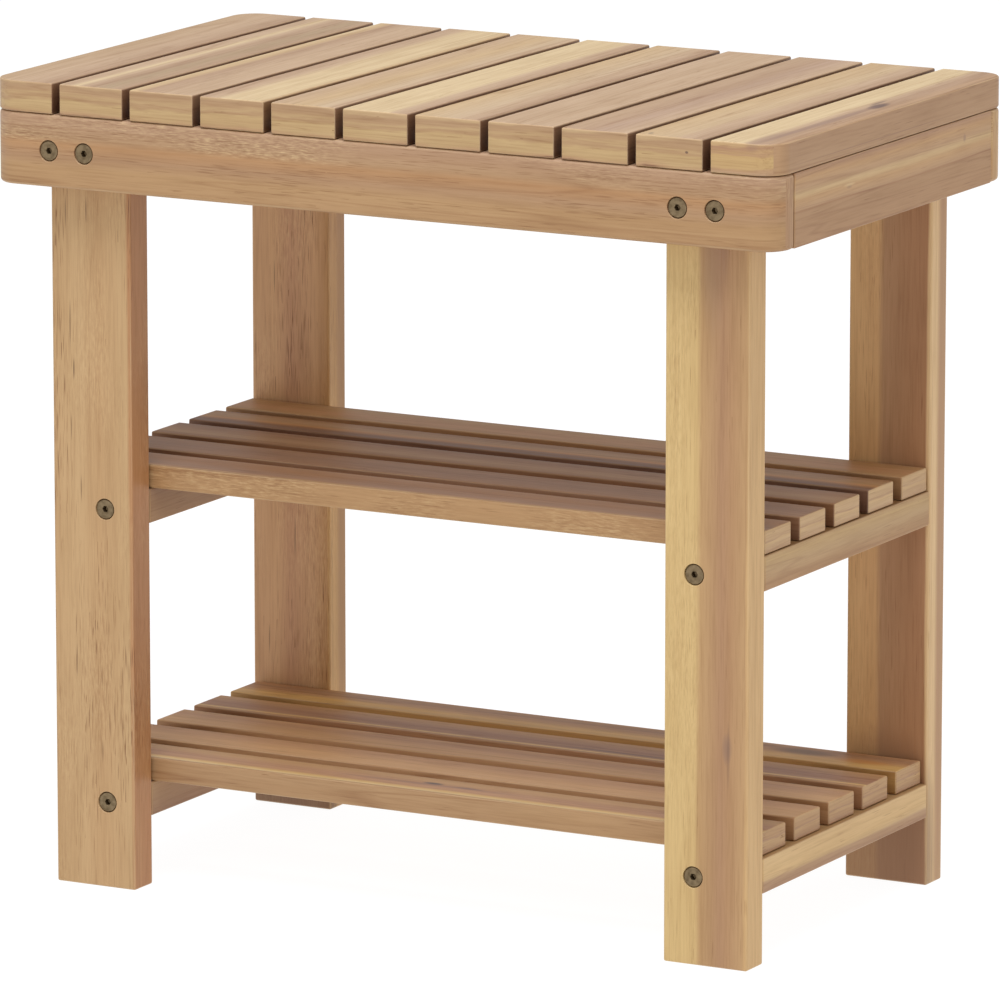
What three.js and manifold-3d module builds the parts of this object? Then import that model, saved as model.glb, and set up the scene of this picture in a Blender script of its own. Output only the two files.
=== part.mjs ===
// Slatted entryway bench with two open shelves. Millimetres, +Z up.
// The origin is on the floor under the middle of the seat. +X runs along the seat and -Y is the front.
import * as THREE from 'three';
import { mergeVertices } from 'three/addons/utils/BufferGeometryUtils.js';
import Module from 'manifold-3d';

const wasm = await Module();
wasm.setup();

// Overall sizes
const SEAT_LENGTH = 480;
const SEAT_DEPTH = 278;
const SEAT_HEIGHT = 450;
const CORNER_RADIUS = 15;      // plan corners of the rails and of the two end slats
const JOINT_GAP = 0.3;         // between pieces that touch on the real bench

// Seat slats, which run from front to back across the rails
const SEAT_SLAT_COUNT = 11;
const SEAT_SLAT_GAP = 4.4;
const SEAT_SLAT_THICKNESS = 17;

// Rails: the frame of four boards on edge under the seat slats
const RAIL_HEIGHT = 40;
const RAIL_THICKNESS = 20;

// Legs: flat boards behind the front rail and ahead of the back rail
const LEG_WIDTH = 50;
const LEG_THICKNESS = 19;
const LEG_INSET = 26;          // from the end of the seat to the leg's outer side

// Shelves: two supports laid flat between the legs carry slats that run along X
const SUPPORT_THICKNESS = 19.2;
const SHELF_SLAT_COUNT = 5;
const SHELF_SLAT_GAP = 10.5;
const SHELF_SLAT_THICKNESS = 13;
const SHELF_LEG_CLEARANCE = 2; // between the outermost shelf slats and the legs
const SHELVES = [
  { level: 'upper', supportBottom: 203.2, endInset: 1 },
  { level: 'lower', supportBottom: 38.5, endInset: 3 },
];

// Edges: flats that take the sharpness off every board
const PLAN_EASE = 1.2;
const FACE_EASE = 0.8;
const RAIL_FACE_EASE = 1.8;

// Connecting bolts and their barrel nuts
const HEAD_DIAMETER = 10.8;
const HEAD_THICKNESS = 2.4;
const HEAD_RECESS = 0.5;       // the head's face lies this far below the wood
const HEAD_BEVEL = 0.5;
const SOCKET_WIDTH = 4;        // across the flats of the hexagon
const SOCKET_DEPTH = 1.9;
const SHANK_DIAMETER = 6;
const RAIL_BOLT_LENGTH = 35;
const SHELF_BOLT_LENGTH = 50;
const RAIL_BOLT_EDGE = 11;     // from the leg's outer side to the first rail bolt
const RAIL_BOLT_SPACING = 22;
const SHELF_BOLT_EDGE = 17.5;  // from the leg's inner side to the shelf bolt
const NUT_DIAMETER = 10;
const NUT_LENGTH = 14;
const NUT_SETBACK = 25;        // from the support's end to the nut's axis
const NUT_SLOT_WIDTH = 1.6;
const NUT_SLOT_DEPTH = 1.5;
const BOLT_END_ROOM = 1;       // from the bolt's end to the bottom of its hole in the support
const HOLE_CLEARANCE = 0.4;    // on the radius of every hole

// Facets, and how far a cutting tool stands out of the wood it cuts
const CORNER_SEGMENTS = 7;
const HOLE_SEGMENTS = 16;
const OVERSHOOT = 1;

// Places that follow from the sizes above
const frontFace = -SEAT_DEPTH / 2;
const railTop = SEAT_HEIGHT - SEAT_SLAT_THICKNESS - JOINT_GAP;
const railMiddle = railTop - RAIL_HEIGHT / 2;
const legX = SEAT_LENGTH / 2 - LEG_INSET - LEG_WIDTH / 2;
const legFront = frontFace + RAIL_THICKNESS + JOINT_GAP;
const legBack = legFront + LEG_THICKNESS;
const supportLength = -2 * (legBack + JOINT_GAP);
const railBoltOffsets = [0, 1].map((i) => LEG_WIDTH / 2 - RAIL_BOLT_EDGE - i * RAIL_BOLT_SPACING);
const shelfBoltOffset = SHELF_BOLT_EDGE - LEG_WIDTH / 2;
const headSeat = HEAD_RECESS + HEAD_THICKNESS;

function material(color, roughness, metalness) {
  return new THREE.MeshStandardMaterial({ color, roughness, metalness });
}

const seatWood = material(0xcbae8c, 0.6, 0);
const railWood = material(0xb78f62, 0.6, 0);
const legWood = material(0xb98c58, 0.6, 0);
const shelfWood = material(0x96714d, 0.6, 0);
const supportWood = material(0xc9a66e, 0.6, 0);
const bronze = material(0x7d6a4a, 0.4, 0.9);
const steel = material(0xa8a8a4, 0.4, 0.9);

// A solid for joining and cutting, from a closed geometry.
function solidOf(geometry) {
  const bare = geometry.clone();
  bare.deleteAttribute('normal');
  bare.deleteAttribute('uv');
  const merged = mergeVertices(bare);
  return new wasm.Manifold(new wasm.Mesh({
    numProp: 3,
    vertProperties: new Float32Array(merged.attributes.position.array),
    triVerts: new Uint32Array(merged.index.array),
  }));
}

function meshOf(name, solid, look) {
  const { vertProperties, triVerts } = solid.getMesh();
  const geometry = new THREE.BufferGeometry();
  geometry.setAttribute('position', new THREE.BufferAttribute(new Float32Array(vertProperties), 3));
  geometry.setIndex(new THREE.BufferAttribute(new Uint32Array(triVerts), 1));
  geometry.computeVertexNormals();
  const mesh = new THREE.Mesh(geometry, look);
  mesh.name = name;
  return mesh;
}

// A rectangle's outline with one radius for each corner, from front left round to back left.
// A corner with no radius of its own gets the flat PLAN_EASE.
function boardOutline(width, depth, radii = [0, 0, 0, 0]) {
  const signs = [[-1, -1], [1, -1], [1, 1], [-1, 1]];
  const points = signs.flatMap(([sx, sy], corner) => {
    const radius = radii[corner] || PLAN_EASE;
    const segments = radii[corner] ? CORNER_SEGMENTS : 1;
    const centre = new THREE.Vector2(sx * (width / 2 - radius), sy * (depth / 2 - radius));
    const start = Math.PI + corner * Math.PI / 2;
    return Array.from({ length: segments + 1 }, (_, i) => {
      const angle = start + (i / segments) * Math.PI / 2;
      return new THREE.Vector2(Math.cos(angle), Math.sin(angle)).multiplyScalar(radius).add(centre);
    });
  });
  return new THREE.Shape(points);
}

// A board lying flat: width along X, depth along Y, centred, with its underside at z = 0.
function boardSolid(width, depth, thickness, radii, ease = FACE_EASE) {
  const geometry = new THREE.ExtrudeGeometry(boardOutline(width, depth, radii), {
    depth: thickness - 2 * ease,
    bevelEnabled: true,
    bevelSegments: 1,
    bevelSize: ease,
    bevelThickness: ease,
    bevelOffset: -ease,
  });
  geometry.translate(0, 0, ease);
  return solidOf(geometry);
}

// A round tool for holes: it runs along +Y from the point given.
function roundTool(diameter, length, x, y, z) {
  const geometry = new THREE.CylinderGeometry(diameter / 2, diameter / 2, length, HOLE_SEGMENTS);
  geometry.translate(x, y + length / 2, z);
  return solidOf(geometry);
}

function cut(solid, tools) {
  return tools.reduce((rest, tool) => rest.subtract(tool), solid);
}

const shankHole = SHANK_DIAMETER + 2 * HOLE_CLEARANCE;
const headHole = HEAD_DIAMETER + 2 * HOLE_CLEARANCE;

// The stepped hole for a bolt through a board whose outer face is at y = face.
function boltTools(x, face, thickness, z) {
  const recess = headSeat + JOINT_GAP;
  return [
    roundTool(headHole, recess + OVERSHOOT, x, face - OVERSHOOT, z),
    roundTool(shankHole, thickness + 2 * OVERSHOOT, x, face - OVERSHOOT, z),
  ];
}

function seatSlat(index) {
  const width = (SEAT_LENGTH - (SEAT_SLAT_COUNT - 1) * SEAT_SLAT_GAP) / SEAT_SLAT_COUNT;
  const left = index === 0 ? CORNER_RADIUS : 0;
  const right = index === SEAT_SLAT_COUNT - 1 ? CORNER_RADIUS : 0;
  const solid = boardSolid(width, SEAT_DEPTH, SEAT_SLAT_THICKNESS, [left, right, right, left]);
  const mesh = meshOf(`seat_slat_${String(index + 1).padStart(2, '0')}`, solid, seatWood);
  const middle = (SEAT_SLAT_COUNT - 1) / 2;
  mesh.position.set((index - middle) * (width + SEAT_SLAT_GAP), 0, SEAT_HEIGHT - SEAT_SLAT_THICKNESS);
  return mesh;
}

// The long rail of one face of the bench, seen from outside, with the four holes for its bolts.
function longRail(name) {
  const radii = [CORNER_RADIUS, CORNER_RADIUS, 0, 0];
  const board = boardSolid(SEAT_LENGTH, RAIL_THICKNESS, RAIL_HEIGHT, radii, RAIL_FACE_EASE);
  const holes = [-1, 1].flatMap((side) => railBoltOffsets.flatMap((offset) => (
    boltTools(side * (legX + offset), -RAIL_THICKNESS / 2, RAIL_THICKNESS, RAIL_HEIGHT / 2)
  )));
  const mesh = meshOf(name, cut(board, holes), railWood);
  mesh.position.set(0, frontFace + RAIL_THICKNESS / 2, railTop - RAIL_HEIGHT);
  return mesh;
}

// A short rail closes the frame between the long rails, flush with their ends.
function shortRail(name, side) {
  const length = SEAT_DEPTH - 2 * (RAIL_THICKNESS + JOINT_GAP);
  const mesh = meshOf(name, boardSolid(RAIL_THICKNESS, length, RAIL_HEIGHT), railWood);
  mesh.position.set(side * (SEAT_LENGTH - RAIL_THICKNESS) / 2, 0, railTop - RAIL_HEIGHT);
  return mesh;
}

// A leg as seen from outside: side is 1 where the end of the bench is on its right.
function leg(name, side) {
  const board = boardSolid(LEG_WIDTH, LEG_THICKNESS, railTop);
  const face = -LEG_THICKNESS / 2;
  const railHoles = railBoltOffsets.map((offset) => (
    roundTool(shankHole, LEG_THICKNESS + 2 * OVERSHOOT, side * offset, face - OVERSHOOT, railMiddle)
  ));
  const shelfHoles = SHELVES.flatMap(({ supportBottom }) => (
    boltTools(side * shelfBoltOffset, face, LEG_THICKNESS, supportBottom + SUPPORT_THICKNESS / 2)
  ));
  const mesh = meshOf(name, cut(board, [...railHoles, ...shelfHoles]), legWood);
  mesh.position.set(side * legX, (legFront + legBack) / 2, 0);
  return mesh;
}

// A connecting bolt: flat head with a hexagon socket towards -Y, shank along +Y.
function bolt(name, length, x, face, z) {
  const headRadius = HEAD_DIAMETER / 2;
  const shankRadius = SHANK_DIAMETER / 2;
  const end = HEAD_THICKNESS + length;
  const profile = [
    [0, 0],
    [headRadius - HEAD_BEVEL, 0],
    [headRadius, HEAD_BEVEL],
    [headRadius, HEAD_THICKNESS],
    [shankRadius, HEAD_THICKNESS],
    [shankRadius, end - HEAD_BEVEL],
    [shankRadius - HEAD_BEVEL, end],
    [0, end],
  ].map(([radius, along]) => new THREE.Vector2(radius, along));
  const body = solidOf(new THREE.LatheGeometry(profile, HOLE_SEGMENTS));
  const socketRadius = SOCKET_WIDTH / Math.sqrt(3);
  const socket = new THREE.CylinderGeometry(socketRadius, socketRadius, 2 * SOCKET_DEPTH, 6);
  const mesh = meshOf(name, body.subtract(solidOf(socket)), bronze);
  mesh.position.set(x, face + HEAD_RECESS, z);
  return mesh;
}

// Everything that the front of the bench has, and the back has again, turned half a turn.
function faceAssembly(face) {
  const group = new THREE.Group();
  const turned = face === 'back';
  group.rotation.z = turned ? Math.PI : 0;
  group.add(longRail(`${face}_rail`));
  for (const side of [-1, 1]) {
    const hand = (side > 0) === turned ? 'left' : 'right';
    group.add(leg(`${face}_${hand}_leg`, side));
    railBoltOffsets.forEach((offset, i) => {
      const place = i === 0 ? 'outer' : 'inner';
      const name = `rail_bolt_${face}_${hand}_${place}`;
      group.add(bolt(name, RAIL_BOLT_LENGTH, side * (legX + offset), frontFace, railMiddle));
    });
    for (const { level, supportBottom } of SHELVES) {
      const name = `shelf_bolt_${face}_${hand}_${level}`;
      const z = supportBottom + SUPPORT_THICKNESS / 2;
      group.add(bolt(name, SHELF_BOLT_LENGTH, side * (legX + shelfBoltOffset), legFront, z));
    }
  }
  return group;
}

// A support lies flat between a front and a back leg. Each end has a hole for a bolt,
// and a blind hole from below for the barrel nut that the bolt screws into.
function support(name, side) {
  const board = boardSolid(LEG_WIDTH, supportLength, SUPPORT_THICKNESS);
  const x = side * shelfBoltOffset;
  const middle = SUPPORT_THICKNESS / 2;
  const reach = headSeat + SHELF_BOLT_LENGTH - LEG_THICKNESS + BOLT_END_ROOM;
  const nutHoleLength = middle + NUT_LENGTH / 2 + JOINT_GAP + OVERSHOOT;
  const holes = [-1, 1].flatMap((end) => {
    const nutHole = roundTool(NUT_DIAMETER + 2 * HOLE_CLEARANCE, nutHoleLength, 0, 0, 0);
    const boltStart = end < 0 ? -supportLength / 2 - OVERSHOOT : supportLength / 2 - reach;
    return [
      roundTool(shankHole, reach + OVERSHOOT, x, boltStart, middle),
      nutHole.rotate([90, 0, 0]).translate([x, end * (supportLength / 2 - NUT_SETBACK), -OVERSHOOT]),
    ];
  });
  return meshOf(name, cut(board, holes), supportWood);
}

// A barrel nut: a short upright rod with a cross hole for the bolt and a driver slot below.
function barrelNut(name) {
  const rod = roundTool(NUT_DIAMETER, NUT_LENGTH, 0, -NUT_LENGTH / 2, 0).rotate([90, 0, 0]);
  const through = NUT_DIAMETER + 2 * OVERSHOOT;
  const crossHole = roundTool(shankHole, through, 0, -through / 2, 0);
  const slot = new THREE.BoxGeometry(NUT_SLOT_WIDTH, through, 2 * NUT_SLOT_DEPTH);
  slot.translate(0, 0, -NUT_LENGTH / 2);
  return meshOf(name, cut(rod, [crossHole, solidOf(slot)]), steel);
}

// A shelf: a support at each end with its two nuts, and the slats across them.
function shelf({ level, supportBottom, endInset }) {
  const group = new THREE.Group();
  group.position.z = supportBottom;
  for (const side of [-1, 1]) {
    const hand = side < 0 ? 'left' : 'right';
    const board = support(`${level}_${hand}_support`, side);
    board.position.x = side * legX;
    group.add(board);
    for (const end of [-1, 1]) {
      const nut = barrelNut(`barrel_nut_${end < 0 ? 'front' : 'back'}_${hand}_${level}`);
      const y = end * (supportLength / 2 - NUT_SETBACK);
      nut.position.set(side * (legX + shelfBoltOffset), y, SUPPORT_THICKNESS / 2);
      group.add(nut);
    }
  }
  const room = -2 * (legBack + SHELF_LEG_CLEARANCE);
  const width = (room - (SHELF_SLAT_COUNT - 1) * SHELF_SLAT_GAP) / SHELF_SLAT_COUNT;
  const length = 2 * legX + LEG_WIDTH - 2 * endInset;
  for (let i = 0; i < SHELF_SLAT_COUNT; i += 1) {
    const solid = boardSolid(length, width, SHELF_SLAT_THICKNESS);
    const slat = meshOf(`${level}_shelf_slat_${i + 1}`, solid, shelfWood);
    const y = (i - (SHELF_SLAT_COUNT - 1) / 2) * (width + SHELF_SLAT_GAP);
    slat.position.set(0, y, SUPPORT_THICKNESS + JOINT_GAP);
    group.add(slat);
  }
  return group;
}

const group = new THREE.Group();
for (let i = 0; i < SEAT_SLAT_COUNT; i += 1) {
  group.add(seatSlat(i));
}
group.add(shortRail('left_rail', -1), shortRail('right_rail', 1));
group.add(faceAssembly('front'), faceAssembly('back'));
SHELVES.forEach((level) => group.add(shelf(level)));

export default group;
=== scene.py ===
import math

import bpy
import numpy as np
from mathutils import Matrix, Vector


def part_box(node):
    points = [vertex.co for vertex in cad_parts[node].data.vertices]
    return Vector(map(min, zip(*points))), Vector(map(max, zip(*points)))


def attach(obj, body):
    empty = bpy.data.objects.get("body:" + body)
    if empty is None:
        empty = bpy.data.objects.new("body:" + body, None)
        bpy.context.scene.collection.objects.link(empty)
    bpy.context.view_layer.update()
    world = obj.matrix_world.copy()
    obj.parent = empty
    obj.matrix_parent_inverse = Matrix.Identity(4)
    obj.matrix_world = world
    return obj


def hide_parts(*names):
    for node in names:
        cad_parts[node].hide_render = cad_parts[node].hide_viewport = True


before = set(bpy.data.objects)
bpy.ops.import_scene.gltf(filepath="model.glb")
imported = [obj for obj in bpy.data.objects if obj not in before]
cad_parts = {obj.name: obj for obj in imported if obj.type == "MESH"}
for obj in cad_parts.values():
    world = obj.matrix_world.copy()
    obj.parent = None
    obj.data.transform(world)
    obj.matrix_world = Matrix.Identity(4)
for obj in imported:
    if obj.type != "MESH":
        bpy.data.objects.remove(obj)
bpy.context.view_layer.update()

# Legs. Four flat boards of oiled acacia, sawn lengthwise, with every edge eased. Each is drilled at its top
# for two bolts of the long rail, counterbored from inside for their insert nuts, and recessed lower down
# for the heads of the two shelf bolts. The front right leg was sawn across the sapwood and the heartwood.
LEG_ROUND = 0.0012          # the radius of an eased edge
RIM_ROUND = 0.0004          # the eased rim of every drilled hole
HOLE_POINTS = 32            # round each hole
ROUND_STEPS = 4             # facets across an eased edge
ARC_STEPS = 14              # facets round a plan corner
POCKET_MARGIN = 0.0035      # from a hole's rim to the saw lines round it
HEAD_HOLE = 0.0059          # the radii of the holes for a bolt's head, its shank and an insert nut
SHANK_HOLE = 0.0034
INSERT_HOLE = 0.0052
HEAD_SEAT = 0.0032          # how deep a bolt's head and an insert nut are sunk
INSERT_DEPTH = 0.012
DIGITS = 7                  # points that agree to this many digits of a metre are one point
CLOSE = 1e-6


def ring(centre, radius, turn, axes, height):
    """Points of a circle: the centre plus the radius times the cosine and the sine of each turn, at a
    height along the third of the axes."""
    points = np.zeros((len(turn), 3))
    points[:, axes[0]] = centre[0] + radius * np.cos(turn)
    points[:, axes[1]] = centre[1] + radius * np.sin(turn)
    points[:, axes[2]] = height
    return points


def board(name, low, high, pockets=(), arc=None, round_over=0.0015):
    """A sawn board from low to high, as six faces that share their corner points. A face with pockets is a
    grid of saw lines: each pocket (axis, side, place, [(radius, depth), ...], through) takes the place of its
    grid cell, with four flat pieces round its rim and a wall of circles carried down its profile. A face
    without pockets is one flat outline. arc = (face axis, side, along axis, radius) bends both ends of one
    face back on a quarter circle: at s past the start it drops by r - sqrt(r^2 - s^2)."""
    low = np.array(low)
    high = np.array(high)
    lines = [{low[k], high[k]} for k in range(3)]
    for axis, side, place, profile, through in pockets:
        reach = max(radius for radius, depth in profile) + POCKET_MARGIN
        for k, at in zip([(axis + 1) % 3, (axis + 2) % 3], place):
            lines[k] |= {max(at - reach, low[k]), min(at + reach, high[k])}
    turn = np.linspace(0, 2 * math.pi, HOLE_POINTS, endpoint=False) - 0.75 * math.pi
    around = np.arange(HOLE_POINTS)
    quarter = HOLE_POINTS // 4
    points = [np.stack(np.meshgrid(*zip(low, high), indexing="ij"), -1).reshape(-1, 3)]
    count = 8
    faces = []
    rims = []
    plain = []
    for axis, side in [(axis, side) for axis in range(3) for side in (0, 1)]:
        i, j = (axis + 1) % 3, (axis + 2) % 3
        height = (low, high)[side][axis]
        here = [pocket for pocket in pockets if pocket[0] == axis and (pocket[1] == side or pocket[4])]
        bent = arc and arc[:2] == (axis, side)
        if not here and not bent:
            plain.append((axis, side))
            continue
        cuts = [set(line) for line in lines]
        if bent:
            steps = arc[3] * (1 - np.sin(np.linspace(0, math.pi / 2, ARC_STEPS + 1)[:-1]))
            cuts[arc[2]] |= set(low[arc[2]] + steps) | set(high[arc[2]] - steps)
        cuts = [np.unique(np.round(sorted(line), DIGITS)) for line in cuts]
        a, b = np.meshgrid(cuts[i], cuts[j], indexing="ij")
        grid = np.zeros((a.size, 3))
        grid[:, i], grid[:, j], grid[:, axis] = a.ravel(), b.ravel(), height
        number = np.arange(a.size).reshape(a.shape) + count
        cells = np.stack([number[:-1, :-1], number[1:, :-1], number[1:, 1:], number[:-1, 1:]], -1)
        keep = np.ones(cells.shape[:2], bool)
        points.append(grid)
        count += len(grid)
        for pocket in here:
            place, profile = pocket[2], pocket[3]
            near = pocket[1] == side
            radius = profile[0][0] if near else profile[-1][0]
            m = np.searchsorted(cuts[i], place[0]) - 1
            n = np.searchsorted(cuts[j], place[1]) - 1
            keep[m, n] = False
            corners = cells[m, n]
            points.append(ring(place, radius, turn, (i, j, axis), height))
            loop = around + count
            count += HOLE_POINTS
            rims.append((radius, place, axis))
            for k in range(4):
                back = loop[(np.arange(quarter, -1, -1) + k * quarter) % HOLE_POINTS]
                flat = [corners[k], corners[(k + 1) % 4], *back]
                faces.append(flat if side else flat[::-1])
            if not near:
                continue
            inward = -1 if side else 1
            rows = [ring(place, r, turn, (i, j, axis), height + inward * d) for r, d in profile]
            points.extend(rows)
            first = around + count
            count += HOLE_POINTS * len(rows)
            for k in range(len(rows) - 1):
                top = first + k * HOLE_POINTS
                under = top + HOLE_POINTS
                wall = np.stack([top, np.roll(top, -1), np.roll(under, -1), under], -1)
                faces.extend((wall if side else wall[:, ::-1]).tolist())
            if not pocket[4]:
                bottom = (first + (len(rows) - 1) * HOLE_POINTS).tolist()
                faces.append(bottom if side else bottom[::-1])
        quads = cells[keep]
        faces.extend((quads if side else quads[:, ::-1]).tolist())

    # one point for each place, so that the six faces share their corners
    points, index = np.unique(np.round(np.concatenate(points), DIGITS), axis=0, return_inverse=True)
    index = index.ravel()
    faces = [index[np.array(face)].tolist() for face in faces]
    at_low = np.abs(points - low) < CLOSE
    at_high = np.abs(points - high) < CLOSE
    on_face = np.concatenate([at_low, at_high], 1)
    share = (points - low) / (high - low)
    for axis, side in plain:
        # walk round the outline: along the first edge from 0 to 1, the second from 1 to 2, and so on
        i, j = (axis + 1) % 3, (axis + 2) % 3
        sides = [at_low[:, j], at_high[:, i], at_high[:, j], at_low[:, i]]
        walk = np.select(sides, [share[:, i], 1 + share[:, j], 3 - share[:, i], 4 - share[:, j]])
        edge = np.flatnonzero(on_face[:, axis + 3 * side])
        outline = edge[np.argsort(walk[edge] % 4)].tolist()
        faces.append(outline if side else outline[::-1])

    # an edge is eased fully where two faces meet, a little round a hole, and not along the arc's end lines
    on_rim = np.full(len(points), -1)
    for k, (radius, place, axis) in enumerate(rims):
        i, j = (axis + 1) % 3, (axis + 2) % 3
        away = np.hypot(points[:, i] - place[0], points[:, j] - place[1])
        flush = at_low[:, axis] | at_high[:, axis]
        on_rim[(np.abs(away - radius) < CLOSE) & flush] = k
    if arc:
        face_axis, side, along, radius = arc
        length = (high - low)[along]
        past = np.abs(share[:, along] - 0.5) * length - (length / 2 - radius)
        drop = radius - np.sqrt(radius ** 2 - np.clip(past, 0, radius) ** 2)
        on = on_face[:, face_axis + 3 * side]
        points[on, face_axis] += (drop[on] if side == 0 else -drop[on])

    mesh = bpy.data.meshes.new(name)
    mesh.from_pydata(points.tolist(), [], faces)
    mesh.polygons.foreach_set("use_smooth", np.ones(len(faces), bool))
    ends = np.zeros(len(mesh.edges) * 2, int)
    mesh.edges.foreach_get("vertices", ends)
    ends = ends.reshape(-1, 2)
    shared = on_face[ends[:, 0]] & on_face[ends[:, 1]]
    weight = (shared.sum(1) >= 2).astype(float)
    if arc:
        across = shared[:, face_axis + 3 * side] & (shared[:, along] | shared[:, along + 3])
        weight[across & (shared.sum(1) == 2)] = 0
    same_rim = (on_rim[ends[:, 0]] >= 0) & (on_rim[ends[:, 0]] == on_rim[ends[:, 1]])
    weight[same_rim] = RIM_ROUND / round_over
    mesh.attributes.new("bevel_weight_edge", "FLOAT", "EDGE").data.foreach_set("value", weight)
    piece = bpy.data.objects.new(name, mesh)
    bpy.context.scene.collection.objects.link(piece)
    ease = piece.modifiers.new("eased_edges", "BEVEL")
    ease.limit_method = "WEIGHT"
    ease.width = round_over
    ease.segments = ROUND_STEPS
    ease.use_clamp_overlap = False
    flat = piece.modifiers.new("flat_faces", "WEIGHTED_NORMAL")
    flat.keep_sharp = False
    return piece


def put(tree, kind, inputs=(), **settings):
    """Adds a shader node. A socket among the values is linked to its input, and any other value is set."""
    node = tree.nodes.new(kind)
    for key, value in settings.items():
        setattr(node, key, value)
    for key, value in dict(inputs).items():
        if isinstance(value, bpy.types.NodeSocket):
            tree.links.new(value, node.inputs[key])
        else:
            node.inputs[key].default_value = value
    return node


def calc(tree, operation, *values, clamp=False):
    """The result of one sum on sockets or numbers."""
    return put(tree, "ShaderNodeMath", enumerate(values), operation=operation, use_clamp=clamp).outputs[0]


def blend(tree, mode, factor, under, over):
    """One colour laid over another: mixed with it or multiplied by it, as far as the factor says."""
    inputs = {0: factor, 6: under, 7: over}
    return put(tree, "ShaderNodeMix", inputs, data_type="RGBA", blend_type=mode).outputs[2]


def ramp(tree, value, stops, interpolation="LINEAR"):
    """A colour ramp through (position, colour) stops."""
    node = put(tree, "ShaderNodeValToRGB", {0: value})
    node.color_ramp.interpolation = interpolation
    elements = node.color_ramp.elements
    while len(elements) < len(stops):
        elements.new(0.5)
    for element, (position, colour) in zip(elements, stops):
        element.position = position
        element.color = colour
    return node.outputs[0]


def step(tree, value, start, end):
    """0 below start, 1 above end and a straight line between."""
    inputs = {0: value, 1: start, 2: end, 3: 0.0, 4: 1.0}
    return put(tree, "ShaderNodeMapRange", inputs, clamp=True).outputs[0]


def grain_noise(tree, vector, stretch, detail=2.0, roughness=0.5):
    """Noise stretched along the grain: stretch counts its waves in a metre along, across and through."""
    long = put(tree, "ShaderNodeVectorMath", {0: vector, 1: stretch}, operation="MULTIPLY").outputs[0]
    inputs = {"Vector": long, "Scale": 1.0, "Detail": detail, "Roughness": roughness}
    return put(tree, "ShaderNodeTexNoise", inputs).outputs[0]


def dashes(tree, vector, stretch, length, crowd):
    """Short marks along the grain: stretched cells, each marked near its middle if its random number
    is under what the noise crowd allows there."""
    long = put(tree, "ShaderNodeVectorMath", {0: vector, 1: stretch}, operation="MULTIPLY").outputs[0]
    cells = put(tree, "ShaderNodeTexVoronoi", {"Vector": long, "Scale": 1.0}, feature="F1")
    chosen = calc(tree, "LESS_THAN", cells.outputs["Color"], crowd)
    near = step(tree, cells.outputs["Distance"], length, length * 0.5)
    return calc(tree, "MULTIPLY", near, chosen)


def tone(text):
    """A colour for the shader from its six figures as seen on a screen."""
    seen = np.array([int(text[k:k + 2], 16) for k in (0, 2, 4)]) / 255
    linear = np.where(seen > 0.04045, ((seen + 0.055) / 1.055) ** 2.4, seen / 12.92)
    return (*linear.tolist(), 1.0)


# Oiled acacia, from sapwood to heartwood
STRAW = "d6ba86"
WHEAT = "c9a878"
SAND = "c4a480"
HONEY = "bd9464"
TAN = "b8926a"
ROSE = "ab8260"
RUSSET = "a4774f"
UMBER = "8f674a"
MAUVE = "8a6a58"
CREAM = "d8bd8e"
BLUSH = "b4916f"
KNOT = "5c4238"
CRACK = "644628"
CURL_PALE = "e4c894"
# the tone of worn edges, which also serves as a painted highlight
EDGE_WEAR_AND_HIGHLIGHT = "dcc096"
SEED_SHIFT = 0.37           # metres along the endless grain from one board's seed to the next
CURLY_EDGE = 0.04           # share of the width over which a curly part fades in

# how many waves of each part of the grain go in a metre along, across and through a board
DRIFT_WAVES = (4, 22, 22)
END_WAVES = (30, 120, 3)
STREAK_WAVES = (2.4, 190, 130)
CLOUD_WAVES = (14, 60, 60)
FIBRE_WAVES = (30, 900, 900)
RING_WAVES = (2.0, 75, 55)
CROWD_WAVES = (9, 60, 60)
FINE_PORE_WAVES = (70, 1900, 1900)
PORE_WAVES = (120, 1300, 1300)
CRACK_WAVES = (55, 1500, 1500)
PATCH_WAVES = (12, 40, 40)
CURL_WAVES = (170, 1350, 1350)

# what each part multiplies the colour of the wood by
STREAK_TINT = (0.86, 0.79, 0.72, 1)
CLOUD_TINT = (0.93, 0.91, 0.88, 1)
FIBRE_TINT = (0.84, 0.80, 0.76, 1)
RING_TINT = (0.74, 0.64, 0.55, 1)
FINE_PORE_TINT = (0.76, 0.69, 0.62, 1)
PORE_TINT = (0.6, 0.5, 0.4, 1)
CRACK_TINT = (0.5, 0.4, 0.32, 1)
CURL_TINT = (0.6, 0.5, 0.42, 1)
# painted shade in the gaps: on the sides that face a gap, and more towards their floor
GAP_SHADE_TINT = (0.55, 0.44, 0.38, 1)
GAP_FLOOR_SHADE_TINT = (0.4, 0.33, 0.3, 1)


def curly_figure(tree, colour, share, grained, along, figure):
    """Short light and dark dashes, in patches. figure = (from, to, strength), as shares of the width."""
    start, end, strength = figure
    inside = calc(tree, "MULTIPLY", step(tree, share, start - CURLY_EDGE, start + CURLY_EDGE),
                  step(tree, share, end + CURLY_EDGE, end - CURLY_EDGE))
    patches = step(tree, grain_noise(tree, grained, PATCH_WAVES, 1.0), 0.4, 0.65)
    curly = calc(tree, "MULTIPLY", inside, patches)
    curl = grain_noise(tree, along, CURL_WAVES, 3.0, 0.65)
    pale = calc(tree, "MULTIPLY", curly, step(tree, curl, 0.5, 0.72))
    colour = blend(tree, "MIX", calc(tree, "MULTIPLY", pale, strength), colour, tone(CURL_PALE))
    dark = calc(tree, "MULTIPLY", curly, step(tree, curl, 0.5, 0.32))
    return blend(tree, "MULTIPLY", calc(tree, "MULTIPLY", dark, strength * 1.3), colour, CURL_TINT)


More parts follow.
